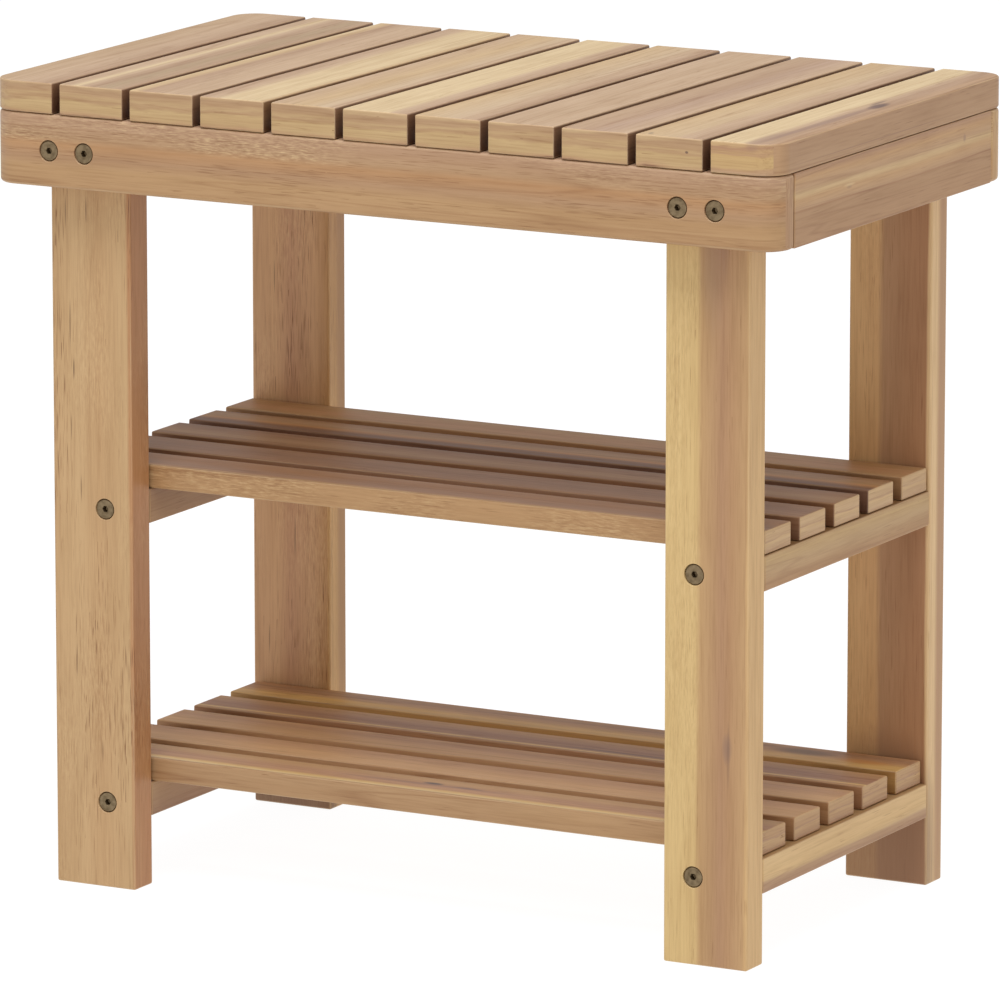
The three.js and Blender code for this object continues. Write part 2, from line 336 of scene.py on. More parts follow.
def stain_or_painted_shadow(tree, colour, place, width, fibre, mark):
    """A knot, stain, crack or painted shadow, as an ellipsoid whose edge is roughened by the fibres. mark
    holds its middle, across the board as a share of the width, its three half sizes, its tone and its
    strength."""
    u, share, w = place
    at_u, at_v, at_w, length, breadth, deep, text, strength = mark
    du = calc(tree, "MULTIPLY_ADD", u, 1 / length, -at_u / length)
    dv = calc(tree, "MULTIPLY_ADD", share, width / breadth, -at_v * width / breadth)
    dw = calc(tree, "MULTIPLY_ADD", w, 1 / deep, -at_w / deep)
    squares = [calc(tree, "MULTIPLY", away, away) for away in (du, dv, dw)]
    round_mark = calc(tree, "ADD", calc(tree, "ADD", squares[0], squares[1]), squares[2])
    rough_mark = calc(tree, "MULTIPLY_ADD", fibre, 1.0, round_mark)
    inside = calc(tree, "MULTIPLY", step(tree, rough_mark, 1.6, 0.7), strength)
    return blend(tree, "MIX", inside, colour, tone(text))


def painted_gap_shade(tree, colour, outward, w, deep, shade):
    """Painted shade on the side that faces a gap: darkens it, and more towards its floor."""
    inside = calc(tree, "MULTIPLY", step(tree, outward, 0.5, 0.8), shade)
    down = step(tree, w, deep * 0.5, -deep * 0.4)
    colour = blend(tree, "MULTIPLY", inside, colour, GAP_SHADE_TINT)
    return blend(tree, "MULTIPLY", calc(tree, "MULTIPLY", inside, down), colour, GAP_FLOOR_SHADE_TINT)


def worn_and_highlit_edge(tree, colour, facing, cloud, plan_arc):
    """Lightens the rounded edges in patches, partly as wear and partly as a painted highlight: where two
    parts of the normal are large at once. With a plan arc only the edges along the flat faces count."""
    edge = calc(tree, "MINIMUM", calc(tree, "MAXIMUM", facing[0], facing[1]), facing[2])
    if not plan_arc:
        edge = calc(tree, "MAXIMUM", edge, calc(tree, "MINIMUM", facing[0], facing[1]))
    wear_and_highlight = calc(tree, "MULTIPLY", step(tree, edge, 0.2, 0.6), step(tree, cloud, 0.3, 0.6))
    return blend(tree, "MIX", calc(tree, "MULTIPLY", wear_and_highlight, 0.3), colour, tone(EDGE_WEAR_AND_HIGHLIGHT))


def wood(name, low, high, grain, across, bands, seed, sway=0.003, lines=0.5, streaks=0.55, pores=0.5,
         cracks=0.0, figure=None, marks=(), wrap=0.72, skin=1.0, end_bands=None, plan_arc=False,
         gap_sides=(), gap_shade=1.0):
    """Oiled acacia. u runs along the grain, v across the width and w through the board, from its middle.
    Bands of colour follow the share of the width, from 0 to 1, and sway by a slow noise, in metres. Over them
    lie streaks, clouds, fibres, growth lines, pores and cracks, as strong as their values, in noise and cells
    stretched along u. They turn on the sawn ends, where the normal along u is over wrap, and end_bands
    follow w there. skin under 1 carries the grain of the face round the edges, and plan_arc does so round a
    rounded corner. figure is a curly part and marks are stains and painted shadows. gap_sides are the sides,
    1 or -1 across, that face a gap and get painted shade, as dark as gap_shade. The eased edges are
    lightened, partly as wear and partly as a painted highlight."""
    material = bpy.data.materials.new(name)
    material.use_nodes = True
    tree = material.node_tree
    through = 3 - grain - across
    order = (grain, across, through)
    place = put(tree, "ShaderNodeTexCoord").outputs["Object"]
    split = put(tree, "ShaderNodeSeparateXYZ", {0: place}).outputs
    turned = put(tree, "ShaderNodeCombineXYZ", {k: split[order[k]] for k in range(3)}).outputs[0]
    middle = [(low[k] + high[k]) / 2 for k in order]
    shift = (seed * SEED_SHIFT - middle[0], -middle[1], -middle[2])
    centred = put(tree, "ShaderNodeMapping", {"Vector": turned, "Location": shift}).outputs[0]
    u, v, w = put(tree, "ShaderNodeSeparateXYZ", {0: centred}).outputs

    geometry = put(tree, "ShaderNodeNewGeometry").outputs["Normal"]
    normal = put(tree, "ShaderNodeSeparateXYZ", {0: geometry}).outputs
    facing = [calc(tree, "ABSOLUTE", normal[k]) for k in range(3)]
    sawn_end = calc(tree, "GREATER_THAN", facing[grain], wrap)
    on_end = put(tree, "ShaderNodeCombineXYZ", {0: v, 1: w, 2: u}).outputs[0]
    carried = {0: 1.0, 1: 1.0, 2: skin}
    if plan_arc and skin == 1:
        upright = calc(tree, "LESS_THAN", facing[2], 0.5)
        carried[1] = calc(tree, "MULTIPLY_ADD", upright, -0.92, 1.0)
    scales = put(tree, "ShaderNodeCombineXYZ", carried).outputs[0]
    grained = put(tree, "ShaderNodeVectorMath", {0: centred, 1: scales}, operation="MULTIPLY").outputs[0]
    fibre_inputs = {0: sawn_end, 4: grained, 5: on_end}
    along = put(tree, "ShaderNodeMix", fibre_inputs, data_type="VECTOR").outputs[1]

    width = high[across] - low[across]
    deep = high[through] - low[through]
    drift = grain_noise(tree, centred, DRIFT_WAVES, 2.0)
    wander = calc(tree, "MULTIPLY_ADD", drift, sway * 2 / width, 0.5 - sway / width)
    share = calc(tree, "MULTIPLY_ADD", v, 1 / width, wander)
    colour = ramp(tree, share, [(position, tone(text)) for position, text in bands])
    if end_bands:
        wavy = calc(tree, "MULTIPLY_ADD", grain_noise(tree, on_end, END_WAVES, 3.0), 0.5, 0.25)
        rise = calc(tree, "MULTIPLY_ADD", w, 1 / deep, wavy)
        end_colour = ramp(tree, rise, [(position, tone(text)) for position, text in end_bands])
        colour = blend(tree, "MIX", sawn_end, colour, end_colour)

    streak = step(tree, grain_noise(tree, along, STREAK_WAVES, 3.0, 0.6), 0.35, 0.7)
    colour = blend(tree, "MULTIPLY", calc(tree, "MULTIPLY", streak, streaks), colour, STREAK_TINT)
    cloud = grain_noise(tree, along, CLOUD_WAVES, 2.0)
    colour = blend(tree, "MULTIPLY", step(tree, cloud, 0.45, 0.7), colour, CLOUD_TINT)
    fibre = grain_noise(tree, along, FIBRE_WAVES, 3.0, 0.65)
    colour = blend(tree, "MULTIPLY", step(tree, fibre, 0.45, 0.75), colour, FIBRE_TINT)

    # growth lines are where a slow noise crosses its middle value, and they draw closer on the sawn ends
    close = put(tree, "ShaderNodeVectorMath", {0: on_end, 1: (3, 3, 1)}, operation="MULTIPLY").outputs[0]
    ring_inputs = {0: sawn_end, 4: grained, 5: close}
    rings = put(tree, "ShaderNodeMix", ring_inputs, data_type="VECTOR").outputs[1]
    ring_noise = grain_noise(tree, rings, RING_WAVES, 1.0)
    contour = calc(tree, "ABSOLUTE", calc(tree, "SUBTRACT", ring_noise, 0.5))
    strength = calc(tree, "MULTIPLY_ADD", sawn_end, 0.45 - lines, lines)
    growth = calc(tree, "MULTIPLY", step(tree, contour, 0.016, 0.0), strength)
    colour = blend(tree, "MULTIPLY", growth, colour, RING_TINT)

    crowd = grain_noise(tree, grained, CROWD_WAVES, 2.0)
    fine_crowd = calc(tree, "MULTIPLY", step(tree, crowd, 0.4, 0.75), pores)
    fine_pore = dashes(tree, along, FINE_PORE_WAVES, 0.5, fine_crowd)
    colour = blend(tree, "MULTIPLY", fine_pore, colour, FINE_PORE_TINT)
    pore_crowd = calc(tree, "MULTIPLY", step(tree, crowd, 0.5, 0.8), pores * 0.35)
    pore = dashes(tree, along, PORE_WAVES, 0.4, pore_crowd)
    colour = blend(tree, "MULTIPLY", pore, colour, PORE_TINT)
    if cracks:
        crack_crowd = calc(tree, "MULTIPLY", step(tree, crowd, 0.48, 0.68), cracks)
        crack = dashes(tree, along, CRACK_WAVES, 0.42, crack_crowd)
        colour = blend(tree, "MULTIPLY", crack, colour, CRACK_TINT)
    if figure:
        colour = curly_figure(tree, colour, share, grained, along, figure)
    for at_u, *rest in marks:
        mark = (seed * SEED_SHIFT + at_u, *rest)
        colour = stain_or_painted_shadow(tree, colour, (u, share, w), width, fibre, mark)
    # painted shade on the sides that face a gap
    for gap_side in gap_sides:
        outward = calc(tree, "MULTIPLY", normal[across], gap_side)
        colour = painted_gap_shade(tree, colour, outward, w, deep, gap_shade)
    # the eased edges lightened, partly as wear and partly as a painted highlight
    colour = worn_and_highlit_edge(tree, colour, facing, cloud, plan_arc)

    shader = tree.nodes["Principled BSDF"]
    tree.links.new(colour, shader.inputs["Base Color"])
    smoother = calc(tree, "MULTIPLY_ADD", fibre, 0.16, 0.44)
    rough = calc(tree, "ADD", smoother, calc(tree, "MULTIPLY", pore, 0.2))
    tree.links.new(rough, shader.inputs["Roughness"])
    height = calc(tree, "SUBTRACT", calc(tree, "MULTIPLY", fibre, 0.5), pore)
    bump_inputs = {"Height": height, "Strength": 0.35, "Distance": 0.0003}
    tree.links.new(put(tree, "ShaderNodeBump", bump_inputs).outputs[0], shader.inputs["Normal"])
    return material


def fit(piece, material, slot, *nodes):
    """Gives a finished piece its material and its body, and hides the CAD nodes that it stands for. slot is
    not used.
    """
    piece.data.materials.append(material)
    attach(piece, "root")
    if nodes:
        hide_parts(*nodes)


def bolt_pockets(bolts, side, profile):
    """A through pocket for each of these bolts, in a board whose outer face is at this side along y."""
    middles = [(np.array(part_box(bolt)[0]) + np.array(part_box(bolt)[1])) / 2 for bolt in bolts]
    return [(1, side, (middle[2], middle[0]), profile, True) for middle in middles]


leg_bands = {
    "front_left": [(0, "c09a6b"), (0.3, "c7a374"), (0.6, "c19a6b"), (0.95, "c5a172"), (0.99, "b58153")],
    "front_right": [(0, "d6b67a"), (0.37, "d3b277"), (0.43, "be9766"), (0.58, "b68e63"), (0.68, "b08660"),
                    (0.78, "b48a60"), (0.96, "bf9869"), (1, "d2ab74")],
    "back_left": [(0, "cda073"), (0.3, "d0a374"), (0.5, "c6966d"), (0.8, "cfa273"), (0.97, "c2935c"),
                  (1, "d2a668")],
    "back_right": [(0, "dab078"), (0.36, "d6aa74"), (0.43, "b68c64"), (0.7, "ac7e56"), (0.94, "ac7c54"),
                   (0.965, "deba88"), (1, "dab684")],
}
# stains, fine cracks and painted shadows: along from the middle, across as a share, through, three half
# sizes, tone, strength
leg_marks = {
    "front_left": [
        (0.162, 0.44, 0, 0.009, 0.0005, 0.02, CRACK, 0.8), (0.160, 0.17, 0, 0.011, 0.0005, 0.02, CRACK, 0.7),
        (0.098, 0.22, 0, 0.016, 0.0005, 0.02, CRACK, 0.8), (0.073, 0.27, 0, 0.007, 0.0006, 0.02, CRACK, 0.9),
        (0.040, 0.24, 0, 0.009, 0.0005, 0.02, CRACK, 0.7), (0.007, 0.37, 0, 0.009, 0.0005, 0.02, CRACK, 0.7),
        (-0.09, 0.3, 0, 0.012, 0.0005, 0.02, CRACK, 0.7), (-0.14, 0.6, 0, 0.008, 0.0005, 0.02, CRACK, 0.6),
    ],
    "front_right": [
        (-0.096, 0.76, 0, 0.010, 0.0035, 0.02, MAUVE, 0.6), (-0.1, 0.78, 0, 0.022, 0.0012, 0.02, KNOT, 0.35),
        (0.175, 0.56, 0, 0.06, 0.009, 0.02, MAUVE, 0.35), (0.18, 0.72, 0, 0.03, 0.003, 0.02, MAUVE, 0.3),
    ],
    "back_left": [
        (0.09, 0.3, 0, 0.012, 0.0005, 0.02, CRACK, 0.7), (0.14, 0.62, 0, 0.010, 0.0005, 0.02, CRACK, 0.6),
        (-0.06, 0.55, 0, 0.014, 0.0005, 0.02, CRACK, 0.7), (-0.12, 0.2, 0, 0.010, 0.0005, 0.02, CRACK, 0.6),
        (0, 1.0, 0.0050, 0.5, 0.004, 0.0065, "a87c50", 0.75),
        # painted shadow of the shelf and its support over the front of the foot
        (-0.215, 0.5, -0.009, 0.06, 0.06, 0.012, "5a3d2a", 0.75),
    ],
    "back_right": [
        (0, 1.0, 0.0045, 0.5, 0.004, 0.0065, "a67a56", 0.8),
        # painted shadow of the shelf and its support over the front of the foot
        (-0.2, 0.45, -0.009, 0.07, 0.045, 0.012, "7e5a3e", 0.7),
    ],
}
# the curly part of each leg, and how many cracks and pores it has
leg_figures = {
    "front_left": ((-0.5, 1.5, 0.25), 0.5, 0.8), "front_right": ((0.0, 0.4, 0.24), 0.12, 0.35),
    "back_left": ((-0.5, 1.5, 0.3), 0.5, 0.9), "back_right": ((0.0, 0.38, 0.24), 0.12, 0.4),
}
corners = [(face, hand) for face in ("front", "back") for hand in ("left", "right")]
for seed, (face, hand) in enumerate(corners):
    node = f"{face}_{hand}_leg"
    low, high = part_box(node)
    thickness = high.y - low.y
    step_in = thickness - INSERT_DEPTH
    insert = [(SHANK_HOLE, 0), (SHANK_HOLE, step_in), (INSERT_HOLE, step_in), (INSERT_HOLE, thickness)]
    head = [(HEAD_HOLE, 0), (HEAD_HOLE, HEAD_SEAT), (SHANK_HOLE, HEAD_SEAT), (SHANK_HOLE, thickness)]
    side = 0 if face == "front" else 1
    pockets = bolt_pockets([f"rail_bolt_{face}_{hand}_{place}" for place in ("outer", "inner")], side, insert)
    pockets += bolt_pockets([f"shelf_bolt_{face}_{hand}_{level}" for level in ("upper", "lower")], side, head)
    piece = board(node + "_wood", low, high, pockets, round_over=LEG_ROUND)
    bands = leg_bands[f"{face}_{hand}"]
    marks = leg_marks[f"{face}_{hand}"]
    figure, cracks, pores = leg_figures[f"{face}_{hand}"]
    acacia = wood(node + "_acacia", low, high, 2, 0, bands, 11 + seed, pores=pores, lines=0.25, marks=marks,
                  figure=figure, cracks=cracks, streaks=0.3)
    fit(piece, acacia, "leg_wood", node)


# Long rails. The front and the back of the seat frame: boards on edge whose outer corners are rounded in
# plan to the seat's radius. Two bolts at each end go through them into the legs, with sunk heads.
RAIL_ROUND = 0.0021
CORNER_RADIUS = 0.015

rail_bands = {
    "front": [(0, RUSSET), (0.05, "b38c60"), (0.3, "b58f62"), (0.45, "b08a64"), (0.62, "b5895c"),
              (0.72, "b28d66"), (1, "b59070")],
    "back": [(0, TAN), (0.3, HONEY), (0.6, WHEAT), (1, TAN)],
}
rail_ends = {"front": [(0, ROSE), (1, TAN)], "back": [(0, HONEY), (1, WHEAT)]}
for seed, face in enumerate(("front", "back")):
    node = f"{face}_rail"
    low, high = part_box(node)
    side = 0 if face == "front" else 1
    depth = high.y - low.y
    head = [(HEAD_HOLE, 0), (HEAD_HOLE, HEAD_SEAT), (SHANK_HOLE, HEAD_SEAT), (SHANK_HOLE, depth)]
    ends = [(hand, place) for hand in ("left", "right") for place in ("outer", "inner")]
    pockets = bolt_pockets([f"rail_bolt_{face}_{hand}_{place}" for hand, place in ends], side, head)
    piece = board(node + "_wood", low, high, pockets, (1, side, 0, CORNER_RADIUS), RAIL_ROUND)
    acacia = wood(node + "_acacia", low, high, 0, 2, rail_bands[face], 21 + seed, pores=0.8, wrap=0.96,
                  skin=0.08, plan_arc=True, figure=(0.66, 1.1, 0.5), end_bands=rail_ends[face])
    fit(piece, acacia, "rail_wood", node)


# Side rails. Two short boards on edge close the frame between the long rails and are dowelled and glued
# to them, so that no fastener shows. Their ends butt against the long rails.
SIDE_RAIL_ROUND = 0.0008

side_bands = {
    "left": [(0, TAN), (0.4, ROSE), (0.7, HONEY), (1, TAN)],
    "right": [(0, "ab825a"), (0.45, "ae875e"), (0.47, RUSSET), (0.49, TAN), (0.62, HONEY), (0.7, WHEAT),
              (0.78, TAN), (0.9, HONEY), (1, ROSE)],
}
side_marks = [
    (0.085, 0.76, 0, 0.0022, 0.003, 0.02, MAUVE, 0.6), (-0.055, 0.6, 0, 0.004, 0.0014, 0.02, KNOT, 0.3),
    (-0.055, 0.63, 0, 0.008, 0.0012, 0.02, CREAM, 0.45),
]
for seed, hand in enumerate(("left", "right")):
    node = f"{hand}_rail"
    low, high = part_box(node)
    acacia = wood(node + "_acacia", low, high, 1, 2, side_bands[hand], 31 + seed, marks=side_marks, pores=0.3)
    fit(board(node + "_wood", low, high, round_over=SIDE_RAIL_ROUND), acacia, "rail_wood", node)


# Seat slats. Eleven boards laid from front to back over the frame with narrow gaps, glued and dowelled
# from below. The two end slats are rounded in plan like the rails. Sapwood shows in the pale ones.
SLAT_ROUND = 0.0010

slat_bands = [
    [(0, "bd9c74"), (0.5, SAND), (1, BLUSH)],
    [(0, SAND), (0.2, SAND), (0.28, CREAM), (0.4, SAND), (0.5, BLUSH), (0.75, "b39772"), (1, BLUSH)],
    [(0, CREAM), (0.14, WHEAT), (0.25, BLUSH), (0.6, SAND), (1, SAND)],
    [(0, BLUSH), (0.25, SAND), (0.42, CREAM), (0.9, CREAM), (1, WHEAT)],
    [(0, SAND), (0.5, WHEAT), (0.8, "c9ac85"), (1, SAND)],
    [(0, CREAM), (0.1, CREAM), (0.66, CREAM), (0.76, SAND), (1, BLUSH)],
    [(0, WHEAT), (0.55, "c9ac85"), (0.75, SAND), (1, BLUSH)],
    [(0, SAND), (0.5, "c0a07b"), (1, SAND)],
    [(0, "bb9a75"), (0.4, BLUSH), (0.6, "b8977a"), (1, SAND)],
    [(0, WHEAT), (0.6, "c8aa80"), (0.7, SAND), (1, BLUSH)],
    [(0, CREAM), (0.46, CREAM), (0.56, SAND), (0.68, BLUSH), (0.8, BLUSH), (0.93, TAN), (1, "ae8862")],
]
slat_marks = {
    9: [(-0.133, 0.17, 0.008, 0.0025, 0.0016, 0.003, KNOT, 0.7),
        (-0.139, 0.77, 0.001, 0.003, 0.0011, 0.0008, KNOT, 0.8),
        (0.02, 0.75, 0.008, 0.03, 0.0012, 0.004, ROSE, 0.5)],
    10: [(0.004, 0.70, 0.008, 0.013, 0.0040, 0.006, KNOT, 0.9),
         (0.014, 0.58, 0.008, 0.012, 0.0016, 0.006, KNOT, 0.6),
         (-0.06, 0.68, 0.008, 0.075, 0.0032, 0.006, MAUVE, 0.6),
         (-0.12, 0.62, 0.008, 0.03, 0.005, 0.006, MAUVE, 0.4),
         (-0.02, 1.0, -0.0045, 0.11, 0.004, 0.0004, UMBER, 0.7)],
}
# the sawn ends, from below to above: those of most slats, and those of the last one on the right
slat_ends = [
    # the dark stop at the bottom of most slats' ends is a painted shadow line along their lower edge
    [(0, UMBER), (0.04, TAN), (0.16, "be9e6f"), (0.42, "c2a372"), (0.5, "b39066"), (0.55, "b59269"),
     (0.62, "bf9f72"), (0.74, "b5926a"), (0.88, "b08d67"), (1, "c1a176")],
    [(0, BLUSH), (0.15, TAN), (0.22, "c4a26e"), (0.58, "c6a46e"), (0.64, TAN), (0.7, "c09c6e"), (0.84, ROSE),
     (0.9, "c09c6e"), (1, WHEAT)],
]
slat_count = len(slat_bands)
for number, bands in enumerate(slat_bands):
    node = f"seat_slat_{number + 1:02d}"
    low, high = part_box(node)
    arc = {0: (0, 0, 1, CORNER_RADIUS), slat_count - 1: (0, 1, 1, CORNER_RADIUS)}.get(number)
    marks = slat_marks.get(number, ())
    ends = slat_ends[1 if number == slat_count - 1 else 0]
    # the sides that face the gaps between slats get painted shade
    gap_sides = {0: (1,), slat_count - 1: (-1,)}.get(number, (-1, 1))
    lines = 0.9 if number in (6, 8) else 0.6
    acacia = wood(node + "_acacia", low, high, 1, 0, bands, 41 + number, marks=marks, pores=0.4, lines=lines,
                  end_bands=ends, plan_arc=bool(arc), gap_sides=gap_sides)
    fit(board(node + "_wood", low, high, arc=arc, round_over=SLAT_ROUND), acacia, "seat_wood", node)


# Shelf supports. Two boards under each shelf lie flat between the front and back legs. A bolt runs into
# each end and is caught by a barrel nut in a blind hole, and five screws go up from below into the slats.
SUPPORT_ROUND = 0.001
NUT_HOLE = 0.0054           # the radius and the depth of a barrel nut's hole, from below
NUT_HOLE_DEPTH = 0.0169
BOLT_HOLE_DEPTH = 0.019     # from the support's end, to just short of the nut's hole
SCREW_HOLE = 0.0042         # the radius and the depth of a screw's countersink
SCREW_SINK = 0.003
SCREW_SHIFT = 0.008         # from the support's middle line to its screws, towards the end of the bench

support_bands = {
    "upper_left": [(0, "a98258"), (0.5, "9f784e"), (1, "9a7350")],
    "upper_right": [(0, "ae8458"), (0.5, "bb996c"), (0.8, "be9c68"), (1, "b0885a")],
    "lower_left": [(0, "946e4e"), (0.5, "9e7a55"), (1, "a68258")],
    "lower_right": [(0, ROSE), (0.3, TAN), (0.37, "ceaa76"), (0.5, "d8b47c"), (1, "d6b27c")],
}
screw_places = []
for seed, (which, bands) in enumerate(support_bands.items()):
    level, hand = which.split("_")
    node = which + "_support"
    low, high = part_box(node)
    nuts = [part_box(f"barrel_nut_{end}_{hand}_{level}") for end in ("front", "back")]
    nut_x = (nuts[0][0].x + nuts[0][1].x) / 2
    nut_ys = [(nut[0].y + nut[1].y) / 2 for nut in nuts]
    slats = [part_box(f"{level}_shelf_slat_{number}") for number in (2, 3, 4)]
    screw_ys = [nut_ys[0], *[(slat[0].y + slat[1].y) / 2 for slat in slats], nut_ys[1]]
    screw_x = (low.x + high.x) / 2 + math.copysign(SCREW_SHIFT, low.x)
    middle = (low.z + high.z) / 2
    nut_profile = [(NUT_HOLE, 0), (NUT_HOLE, NUT_HOLE_DEPTH)]
    bolt_profile = [(SHANK_HOLE, 0), (SHANK_HOLE, BOLT_HOLE_DEPTH)]
    screw_profile = [(SCREW_HOLE, 0), (SCREW_HOLE * 0.5, SCREW_SINK)]
    pockets = [(2, 0, (nut_x, y), nut_profile, False) for y in nut_ys]
    pockets += [(2, 0, (screw_x, y), screw_profile, False) for y in screw_ys]
    pockets += [(1, side, (middle, nut_x), bolt_profile, False) for side in (0, 1)]
    screw_places += [(screw_x, y, low.z) for y in screw_ys]
    # the support's top face, between the shelf slats, gets painted shade
    acacia = wood(node + "_acacia", low, high, 1, 2, bands, 61 + seed, pores=0.3, sway=0.004, gap_sides=(1,),
                  gap_shade=0.6)
    fit(board(node + "_wood", low, high, pockets, round_over=SUPPORT_ROUND), acacia, "support_wood", node)


# Shelf slats. Five boards on each shelf, laid lengthwise across the supports, with wider gaps than the
# seat's, so that wet shoes drain. They are the darkest boards, with a few yellow streaks.
SHELF_ROUND = 0.001

shelf_bands = {
    "upper": [
        [(0, "b58d5f"), (0.02, "bf9d6e"), (0.05, TAN), (0.1, ROSE), (0.2, "a07c62"), (0.6, RUSSET),
         (1, ROSE)],
        [(0, ROSE), (0.5, "a07a5e"), (1, ROSE)],
        [(0, RUSSET), (0.3, TAN), (0.7, ROSE), (1, "a07c62")],
        [(0, UMBER), (0.1, MAUVE), (0.22, UMBER), (0.4, "c7935e"), (0.5, HONEY), (0.66, TAN), (1, "a4774f")],
        [(0, HONEY), (0.4, "c39468"), (0.8, HONEY), (1, TAN)],
    ],
    "lower": [
        [(0, "b08a60"), (0.02, "b48d60"), (0.05, STRAW), (0.16, "dab572"), (0.28, "bd916a"), (0.5, "b98d6a"),
         (0.8, HONEY), (1, HONEY)],
        [(0, "cea272"), (0.4, "d5a874"), (0.7, "ca9b6e"), (1, "c6976a")],
        [(0, "d5a876"), (0.3, "daae7a"), (0.7, "c99a72"), (1, "d1a472")],
        [(0, "c6976a"), (0.08, "c29368"), (0.14, "ebca87"), (0.22, "b98d6c"), (0.5, "b08468"),
         (0.8, "c1956a"), (1, "cea06a")],
        [(0, "dcb06a"), (0.3, "e3b972"), (0.5, "ca9b6c"), (0.75, "b58b68"), (1, "ca9b6a")],
    ],
}
shelf_ends = {
    "upper": [(0, TAN), (0.3, "c29f74"), (0.5, "c8a574"), (0.56, TAN), (0.62, "c29f74"), (1, "c8a574")],
    "lower": [(0, ROSE), (0.3, "b68e62"), (0.5, "be9868"), (0.56, ROSE), (0.62, "b68e62"), (1, "be9868")],
}
shelf_marks = {
    "upper": {3: [(0.02, 0.3, 0.006, 0.09, 0.0012, 0.004, MAUVE, 0.8)]},
    "lower": {
        0: [(0.002, 0.62, 0.006, 0.007, 0.0024, 0.004, "4e4a48", 0.85),
            (0.024, 0.56, 0.006, 0.010, 0.0018, 0.004, "6a5a54", 0.7),
            (0.0, 0.52, 0.006, 0.06, 0.0022, 0.004, MAUVE, 0.5)],
        3: [(0.06, 0.3, 0.006, 0.05, 0.0014, 0.004, "6a5a54", 0.6)],
        4: [(0.145, 0.6, 0.004, 0.022, 0.007, 0.008, "5c4a3c", 0.6),
            (0.185, 0.4, 0.006, 0.018, 0.005, 0.006, "c8843e", 0.6),
            (-0.12, 0.3, 0.006, 0.05, 0.004, 0.006, "d8a850", 0.5)],
    },
}
for level, boards in shelf_bands.items():
    for number, bands in enumerate(boards):
        node = f"{level}_shelf_slat_{number + 1}"
        low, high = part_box(node)
        seed = (71 if level == "upper" else 81) + number
        # the sides that face the gaps between shelf slats get painted shade
        gap_sides = {0: (1,), len(boards) - 1: (-1,)}.get(number, (-1, 1))
        figure = (-0.5, 0.03, 0.36) if number == 0 and level == "upper" else None
        marks = shelf_marks[level].get(number, ())
        acacia = wood(node + "_acacia", low, high, 0, 1, bands, seed, pores=0.5, lines=0.7, figure=figure,
                      marks=marks, end_bands=shelf_ends[level], gap_sides=gap_sides, gap_shade=0.55)
        fit(board(node + "_wood", low, high, round_over=SHELF_ROUND), acacia, "shelf_wood", node)


# Connecting bolts. Steel with an antique bronze finish: a flat head, slightly dished by the lathe, with a
# hexagon socket, and a shank rolled with a coarse thread. The heads lie just below the wood.
BOLT_SIDES = 36
HEAD_THICKNESS = 0.0024
SOCKET = 0.0016             # from the socket's middle to its flats
SOCKET_DEPTH = 0.0040
SHANK_RADIUS = 0.0028
THREAD_RADIUS = 0.0030
THREAD_PITCH = 0.001
THREAD_DEPTH = 0.0005
THREAD_START = 0.0082       # from the top of the head
UNTHREADED = 0.0095         # the head, the plain shank and the tip together
ROWS_PER_TURN = 5
POLISH = "d8cba8"           # the tone of fine scratches


def hexagon(turn, flat):
    """The radius of a hexagon at each turn: the distance to its flats over the cosine of the turn from the
    middle of the nearest flat."""
    return flat / np.cos(turn % (math.pi / 3) - math.pi / 6)


def surface(name, radius, along, middle, direction, axis=1, hollow=False):
    """A closed surface round an axis from grids of its radius and its place along the axis, one row for each
    ring. The ends are flat, or for a hollow piece the last ring is joined to the first. direction is 1
    where the rows run up the axis and -1 where they run down it."""
    rows, sides = radius.shape
    turn = np.linspace(0, 2 * math.pi, sides, endpoint=False)
    points = np.zeros((rows, sides, 3))
    points[..., (axis + 2) % 3] = middle[(axis + 2) % 3] + radius * np.cos(turn)
    points[..., (axis + 1) % 3] = middle[(axis + 1) % 3] + direction * radius * np.sin(turn)
    points[..., axis] = middle[axis] + direction * along
    number = np.arange(rows * sides).reshape(rows, sides)
    after = np.roll(number, -1, 0)
    walls = np.stack([number, after, np.roll(after, -1, 1), np.roll(number, -1, 1)], -1)
    faces = walls.reshape(-1, 4).tolist() if hollow else walls[:-1].reshape(-1, 4).tolist()
    if not hollow:
        faces += [number[0].tolist(), number[-1][::-1].tolist()]
    mesh = bpy.data.meshes.new(name)
    mesh.from_pydata(points.reshape(-1, 3).tolist(), [], faces)
    piece = bpy.data.objects.new(name, mesh)
    bpy.context.scene.collection.objects.link(piece)
    return piece


def smooth(piece, angle):
    """Shades the faces smooth, apart from edges sharper than this angle, in degrees."""
    piece.data.shade_smooth()
    piece.data.set_sharp_from_angle(angle=math.radians(angle))


def metal(name, colour, shade, roughness, wear):
    """A plated metal: patches of a darker shade, and a fine scratch noise in the colour, the roughness and
    the bump.
    """
    material = bpy.data.materials.new(name)
    material.use_nodes = True
    tree = material.node_tree
    place = put(tree, "ShaderNodeTexCoord").outputs["Object"]
    patches = put(tree, "ShaderNodeTexNoise", {"Vector": place, "Scale": 400.0, "Detail": 4.0}).outputs[0]
    scratch = put(tree, "ShaderNodeTexNoise", {"Vector": place, "Scale": 2500.0, "Detail": 2.0}).outputs[0]
    mixed = blend(tree, "MIX", step(tree, patches, 0.35, 0.7), tone(colour), tone(shade))
    scratched = calc(tree, "MULTIPLY", step(tree, scratch, 0.5, 0.8), wear)
    mixed = blend(tree, "MIX", scratched, mixed, tone(POLISH))
    shader = tree.nodes["Principled BSDF"]
    shader.inputs["Metallic"].default_value = 1.0
    tree.links.new(mixed, shader.inputs["Base Color"])
    rough = calc(tree, "MULTIPLY_ADD", scratch, 0.25, roughness - 0.12)
    tree.links.new(rough, shader.inputs["Roughness"])
    bump_inputs = {"Height": scratch, "Strength": 0.2, "Distance": 0.0001}
    tree.links.new(put(tree, "ShaderNodeBump", bump_inputs).outputs[0], shader.inputs["Normal"])
    return material


